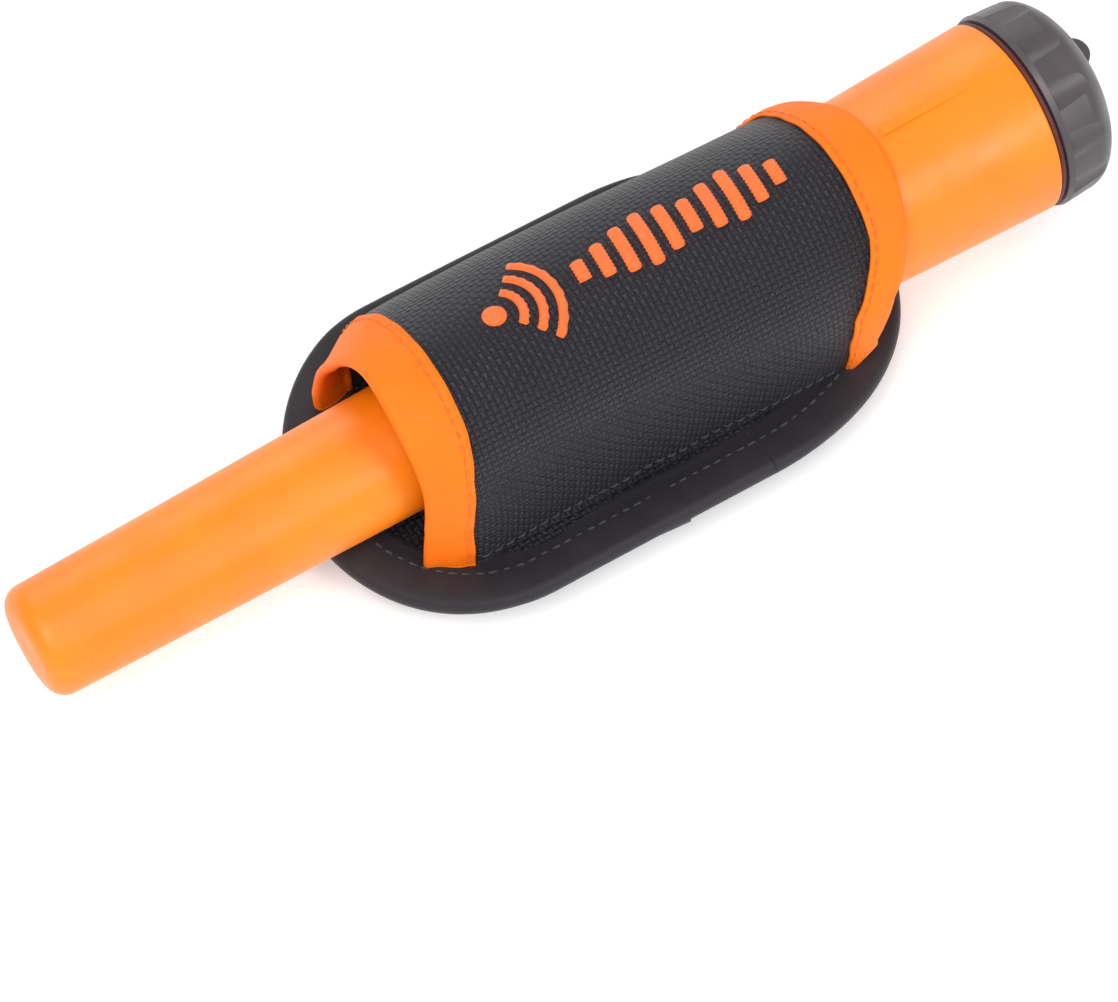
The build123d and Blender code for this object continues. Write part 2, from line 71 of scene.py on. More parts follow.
# ---- Sizes of the sewn pieces ----
sleeve_wall, ribbon_fold = 1.2 * MM, 0.75 * MM
seam_half = ribbon_high.y - 0.5 * MM
arch_height = sleeve_high.z - panel_top
side_height, side_bulge = 14 * MM, 0.9 * MM
tip_mouth_x = sleeve_low.x
handle_mouth_x = tip.x + 175.5 * MM
front_bow, back_bow = 33 * MM, 48 * MM
edge_curl = 3.8 * MM
tape_width, tape_fold = 10 * MM, 0.6 * MM
webbing_thickness, webbing_flat_half = 1.6 * MM, 31 * MM
stitch_pitch, stitch_length, stitch_thickness = 2.7 * MM, 1.9 * MM, 0.26 * MM
ribbon_stitch_thickness, ribbon_stitch_share = 0.16 * MM, 0.82
seam_stitch_inset = 2.2 * MM
edge_stitch_share = 0.62

# ---- How far the cloth strays from an even shape ----
pucker_height, slack_height, sag_depth = 0.28 * MM, 0.45 * MM, 0.4 * MM
nose_tuck, nose_tuck_reach = 0.27, 6.5 * MM
shoulder_sink = 1.1 * MM

# ---- Sizes of the embroidery and of the thread under the cap ----
motif_x, motif_a = tip.x + 106 * MM, 2 * MM
pile_top, pile_root = 0.55 * MM, -0.15 * MM
dot_radius, arc_radii, arc_width, arc_half_angle = 2.6 * MM, (4.8, 8.6, 12.4), 2.1, 50
bar_levels = (5.0, 8.0, 11.0, 13.0, 11.0, 8.0, 11.0, 13.0, 9.5, 6.0)
bar_start, bar_pitch, bar_width, bar_slant = 19.5, 5.0, 3.1 * MM, 0.1
thread_start, thread_pitch, thread_turns = 229.6 * MM, 3.0 * MM, 2.1
thread_core, thread_crest = 17.7 * MM, 18.12 * MM
thread_foot_half, thread_crest_half = 0.9 * MM, 0.25 * MM


# ======== Node and mesh helpers ========
class Tree:
    """Short calls for building one material's nodes."""

    def __init__(self, name):
        self.material = bpy.data.materials.new(name)
        self.material.use_nodes = True
        self.nodes = self.material.node_tree.nodes
        self.links = self.material.node_tree.links
        self.shader = self.nodes["Principled BSDF"]

    def put(self, value, socket):
        """Sets a socket to a value, or links it to another node's socket."""
        if hasattr(value, "is_output"):
            self.links.new(value, socket)
        elif value is not None:
            socket.default_value = value

    def math(self, operation, a, b=None):
        node = self.nodes.new("ShaderNodeMath")
        node.operation = operation
        for value, socket in zip((a, b), node.inputs):
            self.put(value, socket)
        return node.outputs[0]

    def noise(self, scale, detail):
        node = self.nodes.new("ShaderNodeTexNoise")
        node.inputs["Scale"].default_value = scale
        node.inputs["Detail"].default_value = detail
        self.put(self.position(), node.inputs["Vector"])
        return node.outputs["Fac"]

    def position(self):
        return self.nodes.new("ShaderNodeTexCoord").outputs["Object"]

    def attribute(self, name):
        """The x, y and z of a vector stored on the mesh."""
        node = self.nodes.new("ShaderNodeAttribute")
        node.attribute_name = name
        split = self.nodes.new("ShaderNodeSeparateXYZ")
        self.links.new(node.outputs["Vector"], split.inputs[0])
        return split.outputs

    def blend(self, factor, low, high):
        """Colour between two colours."""
        node = self.nodes.new("ShaderNodeMix")
        node.data_type = "RGBA"
        self.put(factor, node.inputs["Factor"])
        self.put((*low, 1) if isinstance(low, tuple) else low, node.inputs["A"])
        self.put((*high, 1) if isinstance(high, tuple) else high, node.inputs["B"])
        return next(o for o in node.outputs if o.type == "RGBA")

    def span(self, value, low, high, to_low=0.0, to_high=1.0):
        """Maps a value's range onto another, held at its ends."""
        node = self.nodes.new("ShaderNodeMapRange")
        keys = ("Value", "From Min", "From Max", "To Min", "To Max")
        for key, number in zip(keys, (value, low, high, to_low, to_high)):
            self.put(number, node.inputs[key])
        return node.outputs[0]

    def bump(self, height, depth, before=None):
        node = self.nodes.new("ShaderNodeBump")
        node.inputs["Distance"].default_value = depth
        self.put(height, node.inputs["Height"])
        self.put(before, node.inputs["Normal"])
        return node.outputs[0]

    def set(self, **values):
        """Sets or links the shader's sockets by name, with _ for a space."""
        for key, value in values.items():
            if isinstance(value, tuple) and len(value) == 3:
                value = (*value, 1)
            self.put(value, self.shader.inputs[key.replace("_", " ")])
        return self.material


def add_mesh(name, points, faces, material, body, cloth=None):
    """A smooth mesh piece that rides on a body; cloth is a stored vector for each point, in mm."""
    mesh = bpy.data.meshes.new(name)
    mesh.from_pydata([tuple(map(float, p)) for p in points], [], faces)
    mesh.validate()
    if cloth is not None:
        layer = mesh.attributes.new("cloth", "FLOAT_VECTOR", "POINT")
        layer.data.foreach_set("vector", np.asarray(cloth, np.float32).ravel())
    mesh.polygons.foreach_set("use_smooth", [True] * len(mesh.polygons))
    mesh.materials.append(material)
    piece = bpy.data.objects.new(name, mesh)
    bpy.context.scene.collection.objects.link(piece)
    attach(piece, body)
    return piece


def grid_faces(rows, columns, start=0, wrap_rows=False, wrap_columns=False):
    """Quads over a grid of points numbered row by row."""
    faces = []
    for i in range(rows if wrap_rows else rows - 1):
        for j in range(columns if wrap_columns else columns - 1):
            a, b = i * columns, ((i + 1) % rows) * columns
            k = (j + 1) % columns
            faces.append((start + a + j, start + a + k, start + b + k, start + b + j))
    return faces


def shut_ends(rows, columns, start=0):
    """The two end faces of a tube of rings."""
    last = start + (rows - 1) * columns
    return [tuple(range(start + columns - 1, start - 1, -1)), tuple(range(last, last + columns))]


# ======== Materials ========
def make_abs(name, colour, dark, roughness):
    """Moulded plastic with a fine spark-eroded grain and slight cloudiness."""
    t = Tree(name)
    cloud = t.noise(38, 3)
    grain = t.noise(3200, 2)
    shade = t.blend(t.span(cloud, 0.35, 0.7), dark, colour)
    rough = t.span(t.noise(120, 3), 0.3, 0.7, roughness - 0.05, roughness + 0.07)
    return t.set(Base_Color=shade, Roughness=rough, Normal=t.bump(grain, 0.00003), IOR=1.5)


def make_weave(name, colour, light, pitch, depth, roughness, sheen):
    """Woven cloth: over-and-under cells with single yarns in them, in the mesh's stored coordinates."""
    t = Tree(name)
    u, v, _ = t.attribute("cloth")
    pu = t.math("MULTIPLY", u, math.pi / pitch)
    pv = t.math("MULTIPLY", v, math.pi / pitch)
    checker = t.math("MULTIPLY", t.math("SINE", pu), t.math("SINE", pv))
    over = t.span(checker, -0.25, 0.25)
    warp = t.math("ABSOLUTE", t.math("SINE", t.math("MULTIPLY", pu, 3.0)))
    weft = t.math("ABSOLUTE", t.math("SINE", t.math("MULTIPLY", pv, 3.0)))
    under = t.math("SUBTRACT", 1.0, over)
    yarn = t.math("ADD", t.math("MULTIPLY", warp, over), t.math("MULTIPLY", weft, under))
    crown = t.math("ABSOLUTE", checker)
    height = t.math("ADD", t.math("MULTIPLY", crown, 0.75), t.math("MULTIPLY", yarn, 0.3))
    fuzz = t.noise(900, 3)
    # Painted highlight: the crowns of the cells take the lighter colour and the hollows between them take the
    # darker one as painted shade. A coarse noise makes the painted highlight patchy.
    highlight_patches = t.noise(45, 3)
    lit = t.math("MULTIPLY", t.span(height, 0.15, 0.95), t.span(highlight_patches, 0.3, 0.75, 0.55, 1.0))
    shade = t.blend(lit, colour, light)
    normal = t.bump(height, depth, t.bump(fuzz, depth * 0.25))
    rough = t.span(height, 0.2, 0.9, roughness + 0.18, roughness)
    return t.set(Base_Color=shade, Roughness=rough, Normal=normal, Sheen_Weight=sheen, Sheen_Roughness=0.5)


def make_ribbon(name, colour, dark, rib=0.55, depth=0.00006, roughness=0.6, sheen=0.1):
    """Grosgrain tape: fine ribs across it and a tight selvedge weave."""
    t = Tree(name)
    u, v, _ = t.attribute("cloth")
    ribs = t.math("ABSOLUTE", t.math("SINE", t.math("MULTIPLY", u, math.pi / rib)))
    yarns = t.math("ABSOLUTE", t.math("SINE", t.math("MULTIPLY", v, math.pi / (rib * 0.7))))
    height = t.math("ADD", t.math("MULTIPLY", ribs, 0.6), t.math("MULTIPLY", yarns, 0.4))
    cloud = t.noise(60, 3)
    # Painted shade: the hollows between the ribs and yarns take the darker colour and the crowns take the
    # lighter one, mottled by a random cloud.
    lit = t.math("MULTIPLY", t.span(cloud, 0.3, 0.7, 0.7, 1.0), t.span(height, 0.0, 0.7, 0.55, 1.0))
    normal = t.bump(height, depth)
    return t.set(
        Base_Color=t.blend(lit, dark, colour), Roughness=roughness, Normal=normal,
        Sheen_Weight=sheen, Specular_IOR_Level=0.3)


def make_thread(name, colour, dark, pitch):
    """Satin stitches: close parallel threads, counted along the stored first coordinate."""
    t = Tree(name)
    place = t.math("ADD", t.attribute("cloth")[0], t.math("MULTIPLY", t.noise(300, 2), 0.35))
    strands = t.math("ABSOLUTE", t.math("SINE", t.math("MULTIPLY", place, math.pi / pitch)))
    # Painted shade: the grooves between the strands take the darker colour and the strand crowns take the
    # lighter one.
    shade = t.blend(t.span(strands, 0.0, 0.8, 0.25, 1.0), dark, colour)
    normal = t.bump(strands, 0.00012)
    return t.set(Base_Color=shade, Roughness=0.45, Normal=normal, Sheen_Weight=0.25, Anisotropic=0.3)


def make_plain(name, colour, dark, roughness, metallic=0.0, grain=600, depth=0.00002):
    """Small inner part: mottled colour and a fine surface grain."""
    t = Tree(name)
    shade = t.blend(t.noise(grain * 0.2, 3), dark, colour)
    rough = t.span(t.noise(grain * 0.5, 2), 0.3, 0.7, roughness - 0.05, roughness + 0.08)
    normal = t.bump(t.noise(grain, 2), depth)
    return t.set(Base_Color=shade, Roughness=rough, Metallic=metallic, Normal=normal)


def make_winding(name):
    """Enamelled copper wire wound round the coil, turn beside turn along the axis."""
    t = Tree(name)
    along = t.nodes.new("ShaderNodeVectorMath")
    along.operation = "DOT_PRODUCT"
    t.links.new(t.position(), along.inputs[0])
    along.inputs[1].default_value = tuple(axis)
    turns = t.math("ABSOLUTE", t.math("SINE", t.math("MULTIPLY", along.outputs["Value"], math.pi / 0.00045)))
    # Painted shade: the grooves between the turns take dark copper and the crowns of the turns take bright
    # copper.
    shade = t.blend(turns, (0.20, 0.05, 0.012), (0.72, 0.27, 0.09))
    return t.set(Base_Color=shade, Roughness=0.3, Metallic=0.9, Normal=t.bump(turns, 0.0002))


def make_board(name):
    """Circuit board: green solder mask with faint copper tracks under it."""
    t = Tree(name)
    tracks = t.nodes.new("ShaderNodeTexBrick")
    tracks.inputs["Scale"].default_value = 260
    tracks.inputs["Mortar Size"].default_value = 0.06
    t.links.new(t.position(), tracks.inputs["Vector"])
    shade = t.blend(tracks.outputs["Fac"], (0.012, 0.12, 0.05), (0.05, 0.26, 0.11))
    return t.set(Base_Color=shade, Roughness=0.35, Normal=t.bump(tracks.outputs["Fac"], 0.00004))


def make_clear(name):
    """Clear moulded lens with a faint frosted grain."""
    t = Tree(name)
    rough = t.span(t.noise(500, 2), 0.3, 0.7, 0.08, 0.2)
    return t.set(Base_Color=(0.9, 0.94, 0.97), Roughness=rough, Transmission_Weight=0.85, IOR=1.49)


orange_abs = make_abs("orange_abs", (0.98, 0.245, 0.001), (0.93, 0.20, 0.0), 0.42)
black_abs = make_abs("black_abs", (0.085, 0.070, 0.078), (0.055, 0.046, 0.051), 0.40)
button_rubber = make_abs("button_rubber", (0.055, 0.05, 0.055), (0.035, 0.032, 0.035), 0.6)
# In each weave below, the second colour is the painted highlight on the crowns of the cells.
black_nylon = make_weave(
    "black_nylon", (0.0030, 0.0026, 0.0045), (0.027, 0.0235, 0.042), 1.3, 0.0009, 0.31, 0.02)
lining_nylon = make_weave(
    "lining_nylon", (0.006, 0.005, 0.007), (0.022, 0.020, 0.025), 0.6, 0.0001, 0.6, 0.03)
# In the tape, the ribbon and the threads below, the second colour is painted shade in the hollows between
# ribs and strands.
black_tape = make_ribbon("black_tape", (0.024, 0.021, 0.027), (0.008, 0.007, 0.009), 0.6, 0.00008, 0.55, 0.04)
loop_webbing = make_weave(
    "loop_webbing", (0.006, 0.005, 0.007), (0.032, 0.029, 0.036), 1.6, 0.0005, 0.5, 0.04)
orange_ribbon = make_ribbon("orange_ribbon", (1.0, 0.19, 0.0), (0.92, 0.125, 0.0), sheen=0.0)
orange_thread = make_thread("orange_thread", (1.0, 0.16, 0.002), (0.62, 0.06, 0.0), 0.5)
orange_sewing = make_thread("orange_sewing", (1.0, 0.24, 0.01), (0.85, 0.13, 0.0), 0.3)
black_sewing = make_thread("black_sewing", (0.045, 0.041, 0.05), (0.012, 0.011, 0.013), 0.3)
seal_rubber = make_plain("seal_rubber", (0.11, 0.02, 0.018), (0.06, 0.01, 0.01), 0.55)
foam = make_plain("foam", (0.10, 0.10, 0.11), (0.03, 0.03, 0.035), 0.95, grain=1500, depth=0.0003)
nickel = make_plain("nickel", (0.75, 0.73, 0.68), (0.6, 0.58, 0.54), 0.28, metallic=1.0)
lead_red = make_plain("lead_red", (0.5, 0.03, 0.02), (0.35, 0.02, 0.015), 0.45)
ferrite = make_plain("ferrite", (0.06, 0.06, 0.065), (0.03, 0.03, 0.033), 0.6, grain=2000, depth=0.00008)
inner_plastic = make_plain("inner_plastic", (0.055, 0.055, 0.06), (0.03, 0.03, 0.033), 0.5)
component_case = make_plain("component_case", (0.03, 0.03, 0.034), (0.015, 0.015, 0.018), 0.4)
battery_case = make_plain("battery_case", (0.10, 0.11, 0.14), (0.06, 0.065, 0.085), 0.32, metallic=0.6)
copper_winding = make_winding("copper_winding")
circuit_board = make_board("circuit_board")
clear_plastic = make_clear("clear_plastic")

node_materials = {
    orange_abs: ["probe_housing"],
    black_abs: ["battery_cap"],
    button_rubber: ["power_button"],
    seal_rubber: ["cap_o_ring", "button_seal"],
    foam: ["cap_foam_pad", "nose_foam"],
    battery_case: ["battery_9v"],
    nickel: ["battery_terminals", "battery_contacts", "board_screws", "motor_weight", "vibration_motor"],
    lead_red: ["battery_leads", "coil_leads"],
    ferrite: ["ferrite_rod"],
    copper_winding: ["transmit_winding", "receive_winding"],
    inner_plastic: ["coil_former", "chassis", "battery_bulkhead", "piezo_sounder"],
    circuit_board: ["main_board"],
    component_case: ["board_components", "tactile_switch"],
    clear_plastic: ["status_led", "status_lens"],
}
for material, names in node_materials.items():
    for name in names:
        node = frame["nodes"][name]
        if not node.material_slots:
            node.data.materials.append(material)
        for holder in node.material_slots:
            holder.link = "OBJECT"
            holder.material = material


# ======== The sleeve's surface, which every sewn piece on it shares ========
def trace_arch():
    """Outer outline of the sleeve's section as dense (y, z) points, from the near seam to the far one."""
    leg = np.linspace(0, 1, 60)
    leg_y = seam_half + side_bulge * np.sin(leg * math.pi / 2)
    turn = np.linspace(0, math.pi, 400)
    half = seam_half + side_bulge
    near = np.stack([-leg_y, leg * side_height], 1)
    over = np.stack([-half * np.cos(turn), side_height + (arch_height - side_height) * np.sin(turn)], 1)
    far = np.stack([leg_y[::-1], leg[::-1] * side_height], 1)
    return np.concatenate([near[:-1], over, far[1:]])


arch = trace_arch()
arch_steps = np.concatenate([[0], np.cumsum(np.hypot(*np.diff(arch, axis=0).T))])
half_girth = arch_steps[-1] / 2
arch_steps -= half_girth
arch_slopes = np.gradient(arch, arch_steps, axis=0)


def wave(x, a):
    """How far the cloth stands off its even shape: puckers, slack, and a sag on the near side."""
    near_seam = np.exp(-(half_girth - np.abs(a)) / (7 * MM))
    pucker = pucker_height * near_seam * np.sin(x / (3.4 * MM) + 1.5 * np.sin(x / (9 * MM)))
    slack = slack_height * np.sin(x / (17 * MM) + a / (12 * MM)) * np.sin(a / (19 * MM) + 0.6)
    middle = np.sin(np.clip((x - tip_mouth_x) / (95 * MM), 0, 1) * math.pi)
    sag = sag_depth * middle * np.exp(-((a + 0.5 * half_girth) / (14 * MM)) ** 2)
    return pucker + slack - settle(x, a) - sag


def tuck(x, a):
    """Share by which the nose mouth's sides are drawn in over the slim nose."""
    height = sleeve_height(a)
    near = np.interp(height, (0, 0.15, 0.3), (0.70, 0.88, 1.0))
    side = np.where(a < 0, near, np.interp(height, (0, 0.65), (0.12, 1.0)))
    return nose_tuck * side * np.exp(-((np.clip(x - tip_mouth_x, 0, None) / nose_tuck_reach) ** 2))


def settle(x, a):
    """How far the handle mouth's far shoulder sinks onto the handle."""
    round_girth, along = (a - 18 * MM) / (10 * MM), (x - handle_mouth_x - 16 * MM) / (15 * MM)
    return shoulder_sink * np.exp(-(round_girth**2) - along**2)


def curl(x, y):
    """How far the panel's long edges rise, drawn up by the sleeve."""
    middle = (panel_low.x + panel_high.x) / 2
    length = (panel_high.x - panel_low.x) / 2
    along = np.clip(1 - np.abs((x - middle) / length) ** 4, 0, 1)
    return edge_curl * np.clip(np.abs(y) / tape_high.y, 0, 1) ** 3 * (0.35 + 0.65 * along)


def on_sleeve(x, a, stand=0.0):
    """Points on the sleeve at x along the holster and a round its girth from the top, stand off outwards."""
    x, a, stand = np.broadcast_arrays(np.asarray(x, float), a, stand)
    y = np.interp(a, arch_steps, arch[:, 0])
    z = np.interp(a, arch_steps, arch[:, 1])
    sy = np.interp(a, arch_steps, arch_slopes[:, 0])
    sz = np.interp(a, arch_steps, arch_slopes[:, 1])
    size = np.hypot(sy, sz)
    off = stand + wave(x, a)
    y, z = y - sz / size * off, z + sy / size * off
    y = y * (1 - tuck(x, a))
    return np.stack([x, y, panel_top + z + curl(x, y)], -1)


def sleeve_height(a):
    """Height over the panel at a round the girth, as a share of the arch's."""
    return np.interp(a, arch_steps, arch[:, 1]) / arch_height


def along_height(a, heights, offsets):
    """A value that follows the height of the sleeve at a, in mm from given heights and values."""
    return np.interp(sleeve_height(a), heights, offsets) * MM


def tip_edge(a):
    """Where the sleeve starts, at the nose mouth."""
    near = along_height(a, (0, 0.25, 0.55, 0.85, 1), (1.5, 2.4, 2.4, 1.6, 1.2))
    far = along_height(a, (0, 0.15, 0.4, 1), (1.3, 0.4, 0.5, 1.2))
    return tip_mouth_x + np.where(a < 0, near, far) + 0.25 * MM * np.sin(a / (6 * MM))


def tip_ribbon_inner(a):
    """Where the nose mouth's ribbon ends on the cloth."""
    return tip_mouth_x + along_height(a, (0, 0.36, 0.66, 0.86, 1), (9.0, 8.3, 10.0, 12.0, 12.6))


def handle_edge(a):
    """Where the sleeve ends, at the handle mouth, which leans towards the cap at its top."""
    heights = (0, 0.1, 0.16, 0.21, 0.33, 0.5, 0.59, 0.9, 1)
    return handle_mouth_x + along_height(a, heights, (0, 2.4, 3.9, 3.6, 5.0, 7.2, 9.5, 14.3, 15.7))


def handle_ribbon_inner(a):
    """Where the handle mouth's ribbon ends on the cloth."""
    near = along_height(a, (0, 0.3, 0.46, 0.64, 0.82, 1), (-1.5, -2.4, -1.6, 2.2, 5.6, 6.4))
    far = along_height(a, (0, 0.3, 0.5, 0.7, 1), (-5, -1, 3, 6, 6.4))
    return handle_mouth_x + np.where(a < 0, near, far)


def make_sleeve():
    """The cloth: an outer face of heavy nylon and a finer lining, joined round all four edges."""
    rows, columns = 120, 150
    girth = np.linspace(-half_girth, half_girth, columns)
    share = np.linspace(0, 1, rows)[:, None]
    x = tip_edge(girth) + share * (handle_edge(girth) - tip_edge(girth))
    a = np.broadcast_to(girth, x.shape)
    outer, inner = on_sleeve(x, a), on_sleeve(x, a, -sleeve_wall)
    points = np.concatenate([outer.reshape(-1, 3), inner.reshape(-1, 3)])
    count = rows * columns
    faces = [tuple(reversed(f)) for f in grid_faces(rows, columns)] + grid_faces(rows, columns, count)
    for i in range(rows - 1):
        for j in (0, columns - 1):
            p, q = i * columns + j, (i + 1) * columns + j
            faces.append((p, q, q + count, p + count) if j == 0 else (q, p, p + count, q + count))
    for j in range(columns - 1):
        for i in (0, rows - 1):
            p, q = i * columns + j, i * columns + j + 1
            faces.append((q, p, p + count, q + count) if i == 0 else (p, q, q + count, p + count))
    cloth = np.stack([x, a, 0 * x], -1).reshape(-1, 3) / MM
    piece = add_mesh("sleeve_cloth", points, faces, black_nylon, "holster", np.concatenate([cloth, cloth]))
    piece.data.materials.append(lining_nylon)
    for face in piece.data.polygons:
        face.material_index = int(min(face.vertices) >= count)
    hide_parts("holster_sleeve")


def hairpin(width, gap, fold):
    """Section of a tape folded over an edge: (depth in from the edge, height off the middle)."""
    outer = gap / 2 + fold
    turn = np.linspace(math.pi / 2, -math.pi / 2, 11)
    round_edge = [(-outer * 0.9 * math.cos(r), outer * math.sin(r)) for r in turn]
    inner_turn = [(-gap * 0.35 * math.cos(r), gap / 2 * math.sin(r)) for r in turn[::-2]]
    steps = [width * share for share in (1, 0.985, 0.88, 0.82, 0.7, 0.5, 0.3, 0.12)]
    plump = [fold * share for share in (-0.6, -0.3, -0.2, -0.42, 0.0, 0.22, 0.25, 0.12)]
    top = [(d, outer + p) for d, p in zip(steps, plump)]
    bottom = [(d, -outer - p) for d, p in zip(steps[::-1], plump[::-1])]
    return np.array(top + round_edge + bottom + [(width, -gap / 2)] + inner_turn + [(width, gap / 2)])


def make_mouth_ribbon(name, node, edge, inner_edge, direction):
    """Ribbon folded over one mouth; direction is +1 where the sleeve lies towards +X of the edge."""
    rows = 190
    girth = np.linspace(-half_girth + 0.2 * MM, half_girth - 0.2 * MM, rows)
    section = hairpin(1.0, sleeve_wall + 0.1 * MM, ribbon_fold)
    depth = np.abs(inner_edge(girth) - edge(girth))
    deep, high = section[:, 0], section[:, 1]
    x = edge(girth)[:, None] + direction * np.where(deep > 0, deep * depth[:, None], deep)
    outside = (deep > 0.5) * (np.abs(high) > sleeve_wall / 2)
    ripple = 0.12 * MM * np.sin(girth / (1.35 * MM))[:, None] * outside
    stand = -sleeve_wall / 2 + high + ripple * np.sign(high)
    a = np.broadcast_to(girth[:, None], x.shape)
    points = on_sleeve(x, a, stand).reshape(-1, 3)
    faces = grid_faces(rows, len(section), wrap_columns=True)
    faces += [tuple(reversed(f)) for f in shut_ends(rows, len(section))]
    if direction > 0:
        faces = [tuple(reversed(f)) for f in faces]
    cloth = np.stack([a, x, 0 * x], -1).reshape(-1, 3) / MM
    piece = add_mesh(name, points, faces, orange_ribbon, "holster", cloth)
    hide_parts(node)


def make_stitches(name, places, material, thick=stitch_thickness):
    """Short threads that dip into the cloth at their ends; places are (centre, along, out)."""
    sides, stations = 6, 5
    points, faces, cloth = [], [], []
    for centre, along, out in places:
        centre, along, out = Vector(centre), Vector(along).normalized(), Vector(out).normalized()
        across = along.cross(out)
        start = len(points)
        for i in range(stations):
            s = i / (stations - 1) * 2 - 1
            lift = out * (thick * (0.55 - 1.1 * s * s))
            girth = thick * (1 - 0.35 * abs(s) ** 3)
            for k in range(sides):
                r = 2 * math.pi * k / sides
                offset = across * (math.cos(r) * girth) + out * (math.sin(r) * girth * 0.8)
                points.append(centre + along * (s * stitch_length / 2) + lift + offset)
                cloth.append((s * stitch_length / MM, r, 0))
        faces += grid_faces(stations, sides, start, wrap_columns=True)
        faces += shut_ends(stations, sides, start)
    add_mesh(name, points, faces, material, "holster", cloth)


def stitch_along(points, outs):
    """Evenly spaced stitch places along a dense line of points."""
    points, outs = np.asarray(points), np.asarray(outs)
    steps = np.concatenate([[0], np.cumsum(np.linalg.norm(np.diff(points, axis=0), axis=1))])
    count = int(steps[-1] / stitch_pitch)
    at = (np.arange(count) + 0.5) * steps[-1] / count

    def sample(values, where):
        return np.stack([np.interp(where, steps, values[:, i]) for i in range(3)], 1)

    ahead, behind = sample(points, at + 0.2 * MM), sample(points, at - 0.2 * MM)
    return list(zip(sample(points, at), ahead - behind, sample(outs, at)))


def sleeve_line(x, a, stand):
    """Dense points and outward directions along a line on the sleeve."""
    low, high = on_sleeve(x, a, stand), on_sleeve(x, a, stand + 1 * MM)
    return low, high - low


# ======== Panel, its tape and the belt loop ========
def panel_outline(angle_count, inset=0.0):
    """The panel's outline as evenly spaced (x, y) points, anticlockwise from the front of the near side."""
    half = tape_high.y - inset
    front_x, back_x = tape_low.x + front_bow, tape_high.x - back_bow
    turn = np.linspace(-math.pi / 2, math.pi / 2, 160)
    back = np.stack([back_x + (back_bow - inset) * np.cos(turn), half * np.sin(turn)], 1)
    front = np.stack([front_x - (front_bow - inset) * np.cos(turn), -half * np.sin(turn)], 1)
    loop = np.concatenate([back, front, back[:1]])
    steps = np.concatenate([[0], np.cumsum(np.hypot(*np.diff(loop, axis=0).T))])
    at = np.linspace(0, steps[-1], angle_count, endpoint=False)
    return np.stack([np.interp(at, steps, loop[:, 0]), np.interp(at, steps, loop[:, 1])], 1)


def make_panel():
    """Padded panel: crowned between its edge tape and the sleeve's seams, and dished under the probe."""
    around, rings = 260, 34
    edge = panel_outline(around, tape_fold)
    middle = np.array([(panel_low.x + panel_high.x) / 2, 0])
    points, cloth = [], []
    for side in (1, -1):
        for r in np.linspace(1, 0.02, rings):
            share = r ** 0.85
            ring = middle + (edge - middle) * share
            from_edge = np.linalg.norm(edge - ring, axis=1)
            pressed = np.interp(from_edge, (8.5 * MM, 12.5 * MM), (1, 0))
            puff = 0.5 * MM * np.sin(np.clip((from_edge - 10 * MM) / (12 * MM), 0, 1) * math.pi)
            quilt = 0.12 * MM * np.sin(ring[:, 0] / (7 * MM)) * np.sin(ring[:, 1] / (6 * MM)) * (1 - pressed)
            half = panel_thickness / 2 - 0.75 * MM * pressed
            if side > 0:
                near_seam = np.exp(-((np.abs(ring[:, 1]) - seam_half) / (1.8 * MM)) ** 2)
                inside = (ring[:, 0] > tip_mouth_x) & (ring[:, 0] < handle_mouth_x)
                dish = 1.3 * MM * np.clip(1 - np.abs(ring[:, 1]) / (8 * MM), 0, 1)
                dish = dish * np.clip((ring[:, 0] - tip_mouth_x) / (40 * MM), 0, 1)
                height = half + puff + quilt - 0.5 * MM * near_seam * inside - dish - puff * (dish > 0)
            else:
                height = -half
            z = panel_middle + height + curl(ring[:, 0], ring[:, 1])
            points.append(np.column_stack([ring, z]))
            cloth.append(np.column_stack([ring, 0 * z]) / MM)
    rows = 2 * rings
    points = np.concatenate(points[:rings][::-1] + points[rings:])
    cloth = np.concatenate(cloth[:rings][::-1] + cloth[rings:])
    faces = [tuple(reversed(f)) for f in grid_faces(rows, around, wrap_columns=True)]
    faces += [tuple(range(around)), tuple(reversed(range((rows - 1) * around, rows * around)))]
    piece = add_mesh("padded_panel", points, faces, black_nylon, "holster", cloth)
    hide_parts("back_panel")


